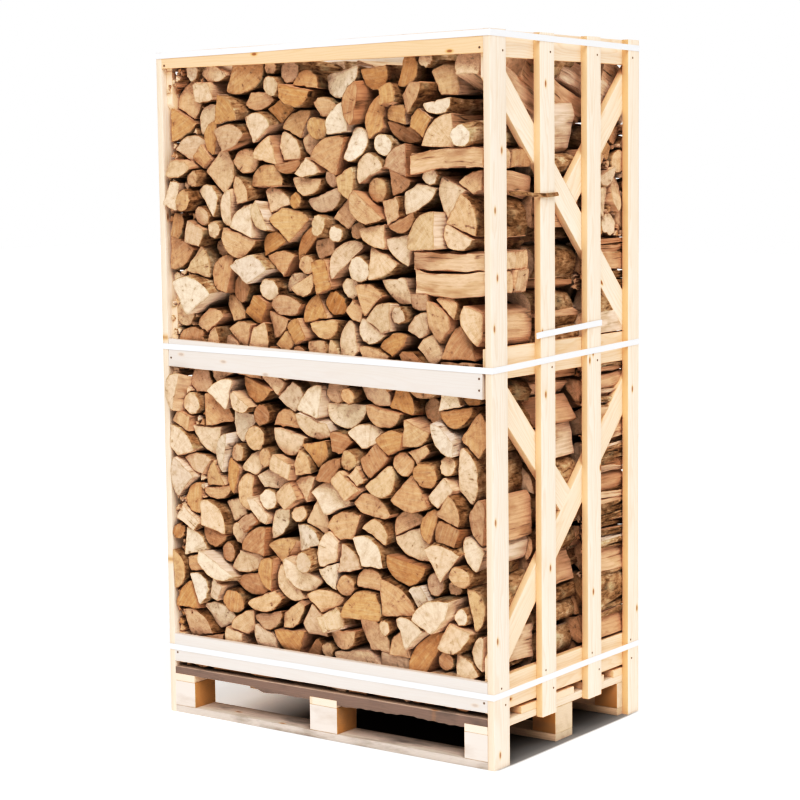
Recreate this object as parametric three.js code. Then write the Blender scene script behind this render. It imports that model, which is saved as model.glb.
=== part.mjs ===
// A pallet crate of split firewood, held by three plastic straps.
//
// A flat pallet carries two slatted side panels joined by rails across the front and the back.
// Between them stand three rows of short split logs, one behind the other, with their cut ends
// facing the front and the back. The crate is open at the top.
//
// Millimetres. +Z is up, +X runs along the long front face and +Y from the front to the back.
// The origin is on the ground at the centre of the crate's footprint.

import * as THREE from 'three';

// Driving dimensions
const crateLength = 1200;
const crateDepth = 800;
const crateHeight = 2030;
const boardThickness = 22;

// Pallet
const runnerDepth = 95;
const blockHeight = 78;
const cornerBlockLength = 78;
const middleBlockLength = 100;
const deckBoardDepth = 115;
const deckBoardCount = 5;

// Side panels: uprights outside, rails and braces inside
const frontPostWidth = 80;
const backPostWidth = 64;
const slatWidth = 76;
const slatBottom = 98;
const slatStarts = [250, 502];
const bottomRail = [152, 250];
const middleRail = [1081, 1169];
const topRailBottom = 1957;
const braceWidth = 78;
// The left panel was sawn a little lower than the right one
const panelTops = { left: 2012, right: crateHeight };

// Rails across the front and the back
const crossBottomRail = [160, 246];
const crossTopRailBottom = 1965;
const slopingRailLength = 1144;
const slopingRailHeight = 84;
const slopingRailCentre = 1094;
const slopingRailShift = -4;
const slopingRailFall = 40;

// Log rows
const logRowGap = 2;
const logRowTop = 1972;
const logTipInset = 3;

// Straps: heights of each band's lower edge at its four corners, in the order
// front left, front right, back right, back left
const strapWidth = 17;
const strapThickness = 1.2;
const strapCornerRadius = 1;
const strapHeights = {
  bottom: [196, 198, 204, 202],
  middle: [1124, 1103, 1127, 1138],
  top: [1994, 2011, 1997, 1990],
};
const strapTailStart = { along: 224, height: 1183 };
const strapTailEnd = { along: 578, height: 1198 };

// Loose sliver of bark lying across the front slat of the right side
const sliverLength = 245;
const sliverWidth = 17;
const sliverThickness = 3;
const sliverHeight = 1590;
const sliverStart = 88;

// Clearance left where one piece is cut to another
const cutGap = 0.3;

const halfLength = crateLength / 2;
const halfDepth = crateDepth / 2;
const innerHalfLength = halfLength - boardThickness;
const deckTop = 3 * boardThickness + blockHeight;

const crate = new THREE.Group();

function sawnPine() {
  return new THREE.MeshStandardMaterial({ color: 0xf4dfc2, roughness: 0.75, metalness: 0 });
}

function palletWood() {
  return new THREE.MeshStandardMaterial({ color: 0xdcc3a0, roughness: 0.85, metalness: 0 });
}

function splitFirewood() {
  return new THREE.MeshStandardMaterial({ color: 0xcfa878, roughness: 0.85, metalness: 0 });
}

function strapPlastic() {
  return new THREE.MeshStandardMaterial({ color: 0xfbfbf8, roughness: 0.35, metalness: 0 });
}

function barkSliver() {
  return new THREE.MeshStandardMaterial({ color: 0x8c7760, roughness: 0.9, metalness: 0 });
}

function namedMesh(name, geometry, material, parent) {
  const mesh = new THREE.Mesh(geometry, material);
  mesh.name = name;
  parent.add(mesh);
  return mesh;
}

// A straight board between the given low and high values along X, Y and Z
function board(name, material, x, y, z, parent) {
  const geometry = new THREE.BoxGeometry(x[1] - x[0], y[1] - y[0], z[1] - z[0]);
  const mesh = namedMesh(name, geometry, material, parent);
  mesh.position.set((x[0] + x[1]) / 2, (y[0] + y[1]) / 2, (z[0] + z[1]) / 2);
  return mesh;
}

// The part of a convex outline on the inner side of the line through `point` facing `normal`
function clipOutline(outline, point, normal) {
  const side = (p) => p.clone().sub(point).dot(normal);
  const kept = [];
  outline.forEach((from, i) => {
    const to = outline[(i + 1) % outline.length];
    const a = side(from);
    const b = side(to);
    if (a <= 0) kept.push(from);
    if (a * b < 0) kept.push(from.clone().lerp(to, a / (a - b)));
  });
  return kept;
}

// A flat outline in the Y-Z plane, made `thickness` thick along X from `x`
function plate(name, outline, x, thickness, material, parent) {
  const geometry = new THREE.ExtrudeGeometry(new THREE.Shape(outline), {
    depth: thickness,
    bevelEnabled: false,
  });
  const mesh = namedMesh(name, geometry, material, parent);
  mesh.matrixAutoUpdate = false;
  mesh.matrix.makeBasis(
    new THREE.Vector3(0, 1, 0),
    new THREE.Vector3(0, 0, 1),
    new THREE.Vector3(1, 0, 0),
  );
  mesh.matrix.setPosition(x, 0, 0);
  return mesh;
}

// ---- Pallet: runners along X, blocks, stringers along Y, deck boards along X

function pallet() {
  const blockColumns = [
    ['left', -innerHalfLength, cornerBlockLength],
    ['middle', -middleBlockLength / 2, middleBlockLength],
    ['right', innerHalfLength - cornerBlockLength, cornerBlockLength],
  ];
  const blockRows = [
    ['front', -halfDepth],
    ['middle', -runnerDepth / 2],
    ['back', halfDepth - runnerDepth],
  ];
  const blockTop = boardThickness + blockHeight;
  const stringerTop = blockTop + boardThickness;
  const fullLength = [-innerHalfLength, innerHalfLength];

  for (const [row, y] of blockRows) {
    board(`pallet_runner_${row}`, palletWood(), fullLength, [y, y + runnerDepth],
      [0, boardThickness], crate);
    for (const [column, x, length] of blockColumns) {
      board(`pallet_block_${row}_${column}`, palletWood(), [x, x + length],
        [y, y + runnerDepth], [boardThickness, blockTop], crate);
    }
  }
  for (const [column, x, length] of blockColumns) {
    board(`pallet_stringer_${column}`, palletWood(), [x, x + length],
      [-halfDepth, halfDepth], [blockTop, stringerTop], crate);
  }
  const deckPitch = (crateDepth - deckBoardDepth) / (deckBoardCount - 1);
  for (let i = 0; i < deckBoardCount; i += 1) {
    const y = -halfDepth + i * deckPitch;
    board(`pallet_deck_board_${i + 1}`, palletWood(), fullLength, [y, y + deckBoardDepth],
      [stringerTop, deckTop], crate);
  }
}

// ---- Side panels

// The straight strip of a brace at 45 degrees through `centre`, rising with Y for rise = 1
function braceStrip(centre, rise) {
  const along = new THREE.Vector2(1, rise).normalize();
  const across = new THREE.Vector2(-along.y, along.x).multiplyScalar(braceWidth / 2);
  const reach = along.multiplyScalar(crateHeight);
  return [
    centre.clone().sub(reach).sub(across),
    centre.clone().add(reach).sub(across),
    centre.clone().add(reach).add(across),
    centre.clone().sub(reach).add(across),
  ];
}

// Two braces in one bay: a long one from corner to corner, and a short one cut to meet it
function bracedBay(label, low, high, rise, longCentre, shortCentre, parent) {
  const innerHalfDepth = halfDepth - boardThickness;
  const bayLow = new THREE.Vector2(-innerHalfDepth, low + cutGap);
  const bayHigh = new THREE.Vector2(innerHalfDepth, high - cutGap);
  const bayEdges = [
    [bayLow, new THREE.Vector2(-1, 0)],
    [bayLow, new THREE.Vector2(0, -1)],
    [bayHigh, new THREE.Vector2(1, 0)],
    [bayHigh, new THREE.Vector2(0, 1)],
  ];
  const fitToBay = (outline) => bayEdges.reduce(
    (left, [point, normal]) => clipOutline(left, point, normal), outline);
  const x = innerHalfLength - boardThickness;

  const longBrace = fitToBay(braceStrip(longCentre, rise));
  plate(`brace_${label}_long`, longBrace, x, boardThickness, sawnPine(), parent);

  const towardsShort = new THREE.Vector2(rise, -1).normalize().negate();
  const meeting = longCentre.clone().addScaledVector(towardsShort, braceWidth / 2 + cutGap);
  const shortBrace = clipOutline(fitToBay(braceStrip(shortCentre, -rise)), meeting,
    towardsShort.clone().negate());
  plate(`brace_${label}_short`, shortBrace, x, boardThickness, sawnPine(), parent);
}

// One side panel, facing +X: two posts and two slats outside, rails and braces behind them
function sidePanel(side, ends) {
  const panel = new THREE.Group();
  const top = panelTops[side];
  const outer = [innerHalfLength, halfLength];
  const inner = [innerHalfLength - boardThickness, innerHalfLength];
  const betweenCrossRails = [boardThickness - halfDepth, halfDepth - boardThickness];

  board(`post_${side}_${ends[0]}`, sawnPine(), outer,
    [-halfDepth, frontPostWidth - halfDepth], [0, top], panel);
  board(`post_${side}_${ends[1]}`, sawnPine(), outer,
    [halfDepth - backPostWidth, halfDepth], [0, top], panel);
  slatStarts.forEach((start, i) => {
    const y = start - halfDepth;
    board(`slat_${side}_${ends[i]}`, sawnPine(), outer, [y, y + slatWidth],
      [slatBottom, top], panel);
  });
  const levels = { bottom: bottomRail, middle: middleRail, top: [topRailBottom, top] };
  for (const [level, heights] of Object.entries(levels)) {
    board(`side_rail_${side}_${level}`, sawnPine(), inner, betweenCrossRails, heights, panel);
  }

  const upperLong = new THREE.Vector2(20, (middleRail[1] + topRailBottom) / 2 - 5);
  const upperShort = new THREE.Vector2(215, 1750);
  bracedBay(`${side}_upper`, middleRail[1], topRailBottom, -1, upperLong, upperShort, panel);

  const lowerLong = new THREE.Vector2(20, (bottomRail[1] + middleRail[0]) / 2 - 12);
  const lowerShort = new THREE.Vector2(-190, 905);
  bracedBay(`${side}_lower`, bottomRail[1], middleRail[0], 1, lowerLong, lowerShort, panel);
  return panel;
}

// ---- Rails across one face, at -Y: the middle one falls towards +X, and the top one is
// tapered to meet the panels' tops, given from -X to +X

function crossRails(face, tops) {
  const rails = new THREE.Group();
  const length = [-innerHalfLength, innerHalfLength];
  const depth = [-halfDepth, boardThickness - halfDepth];
  board(`${face}_rail_bottom`, sawnPine(), length, depth, crossBottomRail, rails);

  const tapered = new THREE.Shape([
    new THREE.Vector2(length[0], crossTopRailBottom),
    new THREE.Vector2(length[1], crossTopRailBottom),
    new THREE.Vector2(length[1], tops[1]),
    new THREE.Vector2(length[0], tops[0]),
  ]);
  const topRail = namedMesh(`${face}_rail_top`,
    new THREE.ExtrudeGeometry(tapered, { depth: boardThickness, bevelEnabled: false }),
    sawnPine(), rails);
  topRail.rotation.x = Math.PI / 2;
  topRail.position.y = depth[1];

  const halfRail = slopingRailLength / 2;
  const halfHeight = slopingRailHeight / 2;
  const sloping = board(`${face}_rail_middle`, sawnPine(),
    [slopingRailShift - halfRail, slopingRailShift + halfRail], depth,
    [slopingRailCentre - halfHeight, slopingRailCentre + halfHeight], rails);
  sloping.rotation.y = Math.atan2(slopingRailFall, slopingRailLength);
  return rails;
}

// ---- Log rows: solids that reach the tips of the stacked logs, notched round the face rails

function logRows() {
  const rowHalfLength = innerHalfLength - boardThickness - logRowGap;
  const recess = halfDepth - boardThickness - logRowGap;
  const tips = halfDepth - logTipInset;
  const rowDepth = (2 * recess - 2 * logRowGap) / 3;
  const middleHalf = rowDepth / 2;
  const bottom = deckTop + cutGap;
  const slopeReach = (slopingRailHeight + slopingRailFall) / 2 + logRowGap;
  const steps = [
    [recess, bottom],
    [recess, crossBottomRail[1] + logRowGap],
    [tips, crossBottomRail[1] + logRowGap],
    [tips, slopingRailCentre - slopeReach],
    [recess, slopingRailCentre - slopeReach],
    [recess, slopingRailCentre + slopeReach],
    [tips, slopingRailCentre + slopeReach],
    [tips, crossTopRailBottom - logRowGap],
    [recess, crossTopRailBottom - logRowGap],
    [recess, logRowTop],
  ];
  const innerFace = middleHalf + logRowGap;
  const faceRow = [[innerFace, logRowTop], [innerFace, bottom], ...steps];
  const backOutline = faceRow.map(([y, z]) => new THREE.Vector2(y, z));
  const frontOutline = backOutline.map((p) => new THREE.Vector2(-p.x, p.y));
  const length = [-rowHalfLength, rowHalfLength];

  plate('log_row_front', frontOutline, -rowHalfLength, 2 * rowHalfLength, splitFirewood(), crate);
  board('log_row_middle', splitFirewood(), length, [-middleHalf, middleHalf],
    [bottom, logRowTop], crate);
  plate('log_row_back', backOutline, -rowHalfLength, 2 * rowHalfLength, splitFirewood(), crate);
}

// ---- Straps

function roundedRectangle(path, halfX, halfY, radius) {
  path.moveTo(halfX - radius, -halfY);
  path.absarc(halfX - radius, radius - halfY, radius, -Math.PI / 2, 0, false);
  path.absarc(halfX - radius, halfY - radius, radius, 0, Math.PI / 2, false);
  path.absarc(radius - halfX, halfY - radius, radius, Math.PI / 2, Math.PI, false);
  path.absarc(radius - halfX, radius - halfY, radius, Math.PI, 1.5 * Math.PI, false);
  path.closePath();
}

// A band round the crate. Its height follows the four corners: on each face it runs straight
// from one corner's height to the next
function strap(level) {
  const inner = [halfLength + cutGap, halfDepth + cutGap];
  const outer = inner.map((half) => half + strapThickness);
  const outline = new THREE.Shape();
  roundedRectangle(outline, outer[0], outer[1], strapCornerRadius + strapThickness);
  const hole = new THREE.Path();
  roundedRectangle(hole, inner[0], inner[1], strapCornerRadius);
  outline.holes.push(hole);
  const geometry = new THREE.ExtrudeGeometry(outline, {
    depth: strapWidth,
    bevelEnabled: false,
    curveSegments: 4,
  });

  const [frontLeft, frontRight, backRight, backLeft] = strapHeights[level];
  const points = geometry.attributes.position;
  for (let i = 0; i < points.count; i += 1) {
    const alongX = THREE.MathUtils.inverseLerp(-outer[0], outer[0], points.getX(i));
    const alongY = THREE.MathUtils.inverseLerp(-outer[1], outer[1], points.getY(i));
    const front = THREE.MathUtils.lerp(frontLeft, frontRight, alongX);
    const back = THREE.MathUtils.lerp(backLeft, backRight, alongX);
    points.setZ(i, points.getZ(i) + THREE.MathUtils.lerp(front, back, alongY));
  }
  geometry.computeVertexNormals();
  namedMesh(`strap_${level}`, geometry, strapPlastic(), crate);
}

// The middle strap's loose end, lying across the two slats of the right side
function strapTail() {
  const from = new THREE.Vector2(strapTailStart.along - halfDepth, strapTailStart.height);
  const to = new THREE.Vector2(strapTailEnd.along - halfDepth, strapTailEnd.height);
  const up = new THREE.Vector2(0, strapWidth);
  const outline = [from, to, to.clone().add(up), from.clone().add(up)];
  plate('strap_middle_tail', outline, halfLength + cutGap, strapThickness, strapPlastic(), crate);
}

// ---- Bark sliver: a thin wedge that narrows towards the front post

function sliver() {
  const y = sliverStart - halfDepth;
  const outline = [
    new THREE.Vector2(y, sliverHeight + sliverWidth / 2),
    new THREE.Vector2(y + sliverLength, sliverHeight - sliverWidth),
    new THREE.Vector2(y + sliverLength - sliverWidth, sliverHeight - sliverWidth / 4),
    new THREE.Vector2(y + sliverLength / 2, sliverHeight + sliverWidth / 2),
  ];
  plate('bark_sliver', outline, halfLength + cutGap, sliverThickness, barkSliver(), crate);
}

pallet();
crate.add(sidePanel('right', ['front', 'back']));
const leftPanel = sidePanel('left', ['back', 'front']);
leftPanel.rotation.z = Math.PI;
crate.add(leftPanel);
crate.add(crossRails('front', [panelTops.left, panelTops.right]));
const backRails = crossRails('back', [panelTops.right, panelTops.left]);
backRails.rotation.z = Math.PI;
crate.add(backRails);
logRows();
Object.keys(strapHeights).forEach(strap);
strapTail();
sliver();

export default crate;
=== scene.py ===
import bpy
import math
import numpy as np
from mathutils import Matrix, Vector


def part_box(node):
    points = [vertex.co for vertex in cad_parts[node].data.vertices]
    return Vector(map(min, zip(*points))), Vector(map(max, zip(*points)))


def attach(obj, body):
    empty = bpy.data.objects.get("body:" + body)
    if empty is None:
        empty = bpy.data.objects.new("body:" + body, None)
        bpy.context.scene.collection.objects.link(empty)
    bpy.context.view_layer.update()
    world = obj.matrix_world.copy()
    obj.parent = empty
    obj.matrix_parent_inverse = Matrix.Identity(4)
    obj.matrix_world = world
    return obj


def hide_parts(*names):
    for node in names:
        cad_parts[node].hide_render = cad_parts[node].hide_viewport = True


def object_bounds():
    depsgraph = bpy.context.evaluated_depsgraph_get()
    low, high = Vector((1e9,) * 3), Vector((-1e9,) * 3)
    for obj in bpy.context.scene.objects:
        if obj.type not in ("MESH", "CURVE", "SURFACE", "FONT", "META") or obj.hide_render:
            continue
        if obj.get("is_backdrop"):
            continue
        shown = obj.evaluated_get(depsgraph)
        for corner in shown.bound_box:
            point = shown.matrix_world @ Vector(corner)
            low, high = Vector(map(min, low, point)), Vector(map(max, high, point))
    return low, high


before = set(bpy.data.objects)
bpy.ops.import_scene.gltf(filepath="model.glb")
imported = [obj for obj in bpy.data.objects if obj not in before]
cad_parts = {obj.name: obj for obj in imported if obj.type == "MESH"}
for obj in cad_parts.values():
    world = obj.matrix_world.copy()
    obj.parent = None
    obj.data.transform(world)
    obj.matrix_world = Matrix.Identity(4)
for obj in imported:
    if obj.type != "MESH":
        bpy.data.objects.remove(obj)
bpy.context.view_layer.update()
print("frame loaded:", len(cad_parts), "nodes")


# sRGB hex to the linear light that shaders work in
def linearColour(hexCode):
    channels = np.array([int(hexCode[i:i + 2], 16) for i in (1, 3, 5)]) / 255
    linear = np.where(channels <= 0.04045, channels / 12.92, ((channels + 0.055) / 1.055) ** 2.4)
    return (*linear.tolist(), 1.0)


# Adds one node. inputs are socket names or numbers with a value, a hex colour or a socket to
# link from, stops fills a colour ramp, everything else is a setting of the node
def addNode(tree, kind, inputs=None, stops=None, **settings):
    node = tree.nodes.new(kind)
    for name, value in settings.items():
        setattr(node, name, value)
    for name, value in (inputs or {}).items():
        if isinstance(value, bpy.types.NodeSocket):
            tree.links.new(value, node.inputs[name])
        else:
            isHex = isinstance(value, str)
            node.inputs[name].default_value = linearColour(value) if isHex else value
    if stops:
        elements = node.color_ramp.elements
        while len(elements) < len(stops):
            elements.new(0.5)
        for element, (place, colour) in zip(elements, stops):
            isHex = isinstance(colour, str)
            element.position = place
            element.color = linearColour(colour) if isHex else (colour,) * 3 + (1,)
    return node


# The next functions are short forms of addNode, and each returns the socket to go on with.
# This one is a sum, product, power or other operation on numbers
def calculate(tree, operation, *terms):
    return addNode(tree, "ShaderNodeMath", dict(enumerate(terms)), operation=operation).outputs[0]


# value carried from the range low to high over to the range first to last, and kept inside it
def rescale(tree, value, low, high, first, last):
    inputs = dict(enumerate((value, low, high, first, last)))
    return addNode(tree, "ShaderNodeMapRange", inputs).outputs[0]


# The colour or grey that the stops give for value
def ramp(tree, value, stops):
    return addNode(tree, "ShaderNodeValToRGB", {0: value}, stops).outputs[0]


# The place turned and then multiplied by scale along each axis
def stretch(tree, place, scale, rotation=(0.0, 0.0, 0.0)):
    inputs = {"Vector": place, "Scale": scale, "Rotation": rotation}
    return addNode(tree, "ShaderNodeMapping", inputs).outputs[0]


# Smooth noise around 0.5, with about scale bumps to a unit of place
def noiseAt(tree, place, scale, detail=2.0, roughness=0.5, distortion=0.0):
    return addNode(tree, "ShaderNodeTexNoise", {
        "Vector": place, "Scale": scale, "Detail": detail, "Roughness": roughness,
        "Distortion": distortion}).outputs["Fac"]


# The same noise, along a line
def noiseAlong(tree, distance, scale, detail):
    inputs = {"W": distance, "Scale": scale, "Detail": detail}
    return addNode(tree, "ShaderNodeTexNoise", inputs, noise_dimensions="1D").outputs["Fac"]


# A value stored with each point of the mesh
def attribute(tree, name, output="Vector"):
    return addNode(tree, "ShaderNodeAttribute", attribute_name=name).outputs[output]


# The x, y and z of a place, or the three numbers packed in the tone of a piece
def separate(tree, vector):
    return addNode(tree, "ShaderNodeSeparateXYZ", {0: vector}).outputs


# Colours laid over one another: each layer moves the colour so far by its share towards its own
def layered(tree, colour, *layers):
    for share, above in layers:
        colour = addNode(tree, "ShaderNodeMix", {0: share, 6: colour, 7: above},
                         data_type="RGBA").outputs[2]
    return colour


# An empty material with its shader, given the shader's fixed values, and its output
def startMaterial(name, fixed):
    material = bpy.data.materials.new(name)
    material.use_nodes = True
    tree = material.node_tree
    tree.nodes.clear()
    shader = addNode(tree, "ShaderNodeBsdfPrincipled", fixed)
    addNode(tree, "ShaderNodeOutputMaterial", {"Surface": shader.outputs[0]})
    return material, tree, shader


# Links a material's colour, and its relief: height times depth in metres, times strength
def finishMaterial(tree, shader, colour, strength=0.0, depth=0.0, height=None):
    tree.links.new(colour, shader.inputs["Base Color"])
    if height:
        bump = addNode(tree, "ShaderNodeBump", {"Strength": strength, "Distance": depth,
                                                "Height": height})
        tree.links.new(bump.outputs[0], shader.inputs["Normal"])


pineLook = dict(
    ringSpacing=0.0042,      # growth rings of fast-grown pine, 4 to 5 mm
    fibreWidth=0.0011,       # saw and fibre streaks, drawn 1 mm wide so that they show
    knotSpacing=0.17,        # one knot or none in each stretch of this length
    # the narrow-side colour: a darker tan on the boards' narrow sides, partly the wood's own and
    # partly painted shade
    paleWood="#FAEDDD", earlyWood="#EFC69E", lateWood="#D6A572", narrowSideTone="#DEB892",
    bleached="#D5CFCC", knotCore="#8F5A30", knotRing="#D3A064", greyStain="#C9B08F",
)


# Rough-sawn pine or spruce: pale, with soft growth-ring figure, fine fibre streaks along the
# board and a few orange knots. Rings are circles about a pith line that runs beside the board:
# distance from that line, wobbled by slow noise, drives the ring bands
def sawnWood(name, look, greyness):
    material, tree, shader = startMaterial(name, {"IOR": 1.5, "Specular IOR Level": 0.3})
    grain = attribute(tree, "grain")
    tone = separate(tree, attribute(tree, "tone"))
    slowNoise = noiseAt(tree, stretch(tree, grain, (0.9, 6.0, 6.0)), 2.2, detail=3.0)
    place = separate(tree, grain)
    squares = calculate(tree, "ADD", calculate(tree, "POWER", place[1], 2.0),
                        calculate(tree, "POWER", place[2], 2.0))
    fromPith = calculate(tree, "POWER", squares, 0.5)
    wobble = calculate(tree, "MULTIPLY_ADD", slowNoise, 0.035, fromPith)
    rings = calculate(tree, "MULTIPLY", wobble, 1 / look["ringSpacing"])
    ringBand = ramp(tree, calculate(tree, "FRACT", rings),
                    [(0.0, 0.0), (0.45, 0.15), (0.86, 0.9), (0.97, 0.25), (1.0, 0.0)])
    streaks = 1 / look["fibreWidth"]
    fibres = noiseAt(tree, stretch(tree, grain, (14.0, streaks, streaks)), 1.0, detail=4.0,
                     roughness=0.65)

    knotScale = tuple(share / look["knotSpacing"] for share in (1, 2.3, 0.4))
    knots = addNode(tree, "ShaderNodeTexVoronoi", {
        "Vector": stretch(tree, grain, knotScale), "Scale": 1.0}, voronoi_dimensions="2D")
    knotPick = addNode(tree, "ShaderNodeSeparateColor", {0: knots.outputs["Color"]}).outputs[0]
    knotKept = calculate(tree, "GREATER_THAN", knotPick, 0.76)
    knotShape = ramp(tree, knots.outputs["Distance"],
                     [(0.0, 1.0), (0.045, 0.9), (0.075, 0.35), (0.11, 0.0)])
    knotFade = rescale(tree, tone[2], 0.0, 1.0, 1.0, 0.2)
    knotMask = calculate(tree, "MULTIPLY", calculate(tree, "MULTIPLY", knotShape, knotKept),
                         knotFade)
    knotColour = ramp(tree, knotShape, [(0.0, look["knotRing"]), (0.6, look["knotRing"]),
                                        (0.95, look["knotCore"])])

    stains = noiseAt(tree, stretch(tree, grain, (3.0, 11.0, 11.0)), 1.6, detail=5.0,
                     roughness=0.6)
    # tone[1] takes the narrow sides to the narrow-side colour, which is partly painted shade
    colour = layered(
        tree, look["paleWood"], (tone[0], look["earlyWood"]),
        (calculate(tree, "MULTIPLY", ringBand, 0.3), look["lateWood"]),
        (rescale(tree, fibres, 0.42, 0.75, 0.0, 0.3), look["lateWood"]),
        (tone[2], look["bleached"]), (tone[1], look["narrowSideTone"]), (knotMask, knotColour),
        (rescale(tree, stains, 0.5, 0.8, 0.0, greyness), look["greyStain"]))
    finishMaterial(tree, shader, colour, 0.35, 0.0008, fibres)
    tree.links.new(rescale(tree, fibres, 0.0, 1.0, 0.62, 0.9), shader.inputs["Roughness"])
    return material


endGrainLook = dict(
    ringSpacing=0.0046,    # growth rings, drawn at 4 to 5 mm so that they show
    sawMark=0.0065,        # the chain saw's marks, drawn wider apart than they are to show
    # from dull brown heartwood over tan to fresh pale sapwood
    tones=[(0.0, "#B28C6E"), (0.2, "#CFA888"), (0.42, "#E1BEA0"), (0.64, "#EFD2B8"),
           (0.84, "#F6DEC5"), (1.0, "#FAE6D1")],
    warm="#C0935F", grey="#CBB3A3", ring="#805C3D", crack="#2E1C10", dust="#F4E1CB",
)


# The chain-sawn end of a dried hardwood log: matt and light, with faint rings and rays about the
# pith, straight saw marks, a few drying cracks and a slightly darker rim. A crack opens where
# noise round the pith crosses its middle value
def sawnEnd(look):
    material, tree, shader = startMaterial("sawn hardwood end grain", {
        "IOR": 1.5, "Specular IOR Level": 0.2, "Roughness": 0.9})
    pith = attribute(tree, "pith")
    tone = separate(tree, attribute(tree, "tone"))
    flat = stretch(tree, pith, (1.0, 1.0, 0.0))
    mottle = noiseAt(tree, pith, 50.0, detail=8.0, roughness=0.7)
    distance = addNode(tree, "ShaderNodeVectorMath", {0: flat}, operation="LENGTH")
    wobble = calculate(tree, "MULTIPLY_ADD", mottle, 0.006, distance.outputs["Value"])
    rings = calculate(tree, "MULTIPLY", wobble, 1 / look["ringSpacing"])
    ringBand = ramp(tree, calculate(tree, "FRACT", rings),
                    [(0.0, 0.0), (0.6, 0.1), (0.9, 1.0), (1.0, 0.0)])
    angle = addNode(tree, "ShaderNodeTexGradient", {"Vector": flat}, gradient_type="RADIAL")
    rayPlace = calculate(tree, "MULTIPLY_ADD", tone[0], 7.0, angle.outputs["Fac"])
    rays = noiseAlong(tree, rayPlace, 70.0, 3.0)
    offMiddle = calculate(tree, "SUBTRACT", noiseAlong(tree, rayPlace, 9.0, 2.0), 0.5)
    crackSharp = rescale(tree, calculate(tree, "ABSOLUTE", offMiddle), 0.0, 0.012, 1.0, 0.0)
    crackOpen = rescale(tree, mottle, 0.54, 0.62, 0.0, 0.7)
    cracks = calculate(tree, "MULTIPLY", crackSharp, crackOpen)
    sawMarks = noiseAt(tree, stretch(tree, flat, (1 / look["sawMark"], 14.0, 1.0)), 1.0)

    colour = layered(
        tree, ramp(tree, tone[0], look["tones"]), (tone[1], look["warm"]),
        (tone[2], look["grey"]), (calculate(tree, "MULTIPLY", ringBand, 0.18), look["ring"]),
        (rescale(tree, rays, 0.5, 0.85, 0.0, 0.22), look["ring"]),
        (rescale(tree, sawMarks, 0.45, 0.75, 0.0, 0.22), look["dust"]),
        (rescale(tree, mottle, 0.44, 0.74, 0.0, 0.46), look["ring"]),
        (rescale(tree, attribute(tree, "rim", "Fac"), 0.7, 1.0, 0.0, 0.5), look["ring"]),
        (cracks, look["crack"]))
    cut = calculate(tree, "SUBTRACT", sawMarks, cracks)
    finishMaterial(tree, shader, colour, 0.8, 0.003,
                   calculate(tree, "MULTIPLY_ADD", mottle, 2.5, cut))
    return material


splitLook = dict(
    fibreWidth=0.0035,    # torn fibres, drawn 3 to 4 mm wide so that they show
    tones=[(0.0, "#B98D6A"), (0.3, "#DBB394"), (0.6, "#EDCCB0"), (0.85, "#F7E1CE"),
           (1.0, "#FDF0E4")],
    deep="#7E5638", grey="#A07C58", check="#2E1C10",
)


# A face split along the grain: long torn fibres with a silky look, from orange to pale tan, and
# dark drying checks where a slow noise crosses its middle value
def splitFace(look):
    material, tree, shader = startMaterial("split hardwood face", {
        "IOR": 1.5, "Specular IOR Level": 0.3, "Roughness": 0.8})
    pith = attribute(tree, "pith")
    tone = separate(tree, attribute(tree, "tone"))
    streaks = 1 / look["fibreWidth"]
    fibres = noiseAt(tree, stretch(tree, pith, (streaks, streaks, 9.0)), 0.6, detail=6.0,
                     roughness=0.62)
    patches = noiseAt(tree, stretch(tree, pith, (26.0, 26.0, 9.0)), 1.0, detail=3.0)
    checkNoise = noiseAt(tree, stretch(tree, pith, (30.0, 30.0, 1.6)), 1.0)
    offMiddle = calculate(tree, "SUBTRACT", checkNoise, 0.5)
    checkLine = rescale(tree, calculate(tree, "ABSOLUTE", offMiddle), 0.0, 0.016, 1.0, 0.0)
    checkOpen = rescale(tree, patches, 0.5, 0.62, 0.0, 0.6)
    checks = calculate(tree, "MULTIPLY", checkLine, checkOpen)
    colour = layered(
        tree, ramp(tree, tone[0], look["tones"]),
        (rescale(tree, fibres, 0.44, 0.76, 0.0, 0.38), look["deep"]),
        (rescale(tree, patches, 0.46, 0.72, 0.0, 0.65), look["grey"]),
        (checks, look["check"]))
    finishMaterial(tree, shader, colour, 0.9, 0.006,
                   calculate(tree, "SUBTRACT", fibres, checks))
    return material


barkLook = dict(
    ridge=0.010,      # furrows and ridges about 10 mm apart, running along the log
    band=0.045,       # faint cross bands of smooth beech bark
    tones=[(0.0, "#47311F"), (0.3, "#785A3F"), (0.55, "#A08060"), (0.8, "#BFA384"),
           (1.0, "#DAC6AC")],
    furrow="#2A1C12", lichen="#B5AC92",
)


# Dry bark of beech, oak and birch logs: matt grey-brown, ridged along the log and faintly banded
# across it, with paler patches of lichen
def driedBark(look):
    material, tree, shader = startMaterial("dried hardwood bark", {
        "IOR": 1.45, "Specular IOR Level": 0.15, "Roughness": 0.95})
    pith = attribute(tree, "pith")
    tone = separate(tree, attribute(tree, "tone"))
    ridgeScale = tuple(share / look["ridge"] for share in (1, 1, 0.3))
    ridges = noiseAt(tree, stretch(tree, pith, ridgeScale), 1.0, detail=6.0, roughness=0.68,
                     distortion=0.6)
    bandSpace = stretch(tree, pith, (22.0, 22.0, 1 / look["band"]), rotation=(0.2, 0.3, 0.0))
    bands = noiseAt(tree, bandSpace, 1.0, detail=4.0, roughness=0.6)
    mixed = calculate(tree, "ADD", ridges, bands)
    spread = calculate(tree, "MULTIPLY_ADD", mixed, 1.35, -1.02)
    shifted = calculate(tree, "MULTIPLY_ADD", tone[0], 0.45, spread)
    patches = noiseAt(tree, pith, 17.0, detail=3.0)
    colour = layered(
        tree, ramp(tree, shifted, look["tones"]),
        (rescale(tree, patches, 0.55, 0.72, 0.0, 0.5), look["lichen"]),
        (rescale(tree, ridges, 0.3, 0.44, 0.6, 0.0), look["furrow"]))
    finishMaterial(tree, shader, colour, 0.9, 0.004, mixed)
    return material


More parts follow.
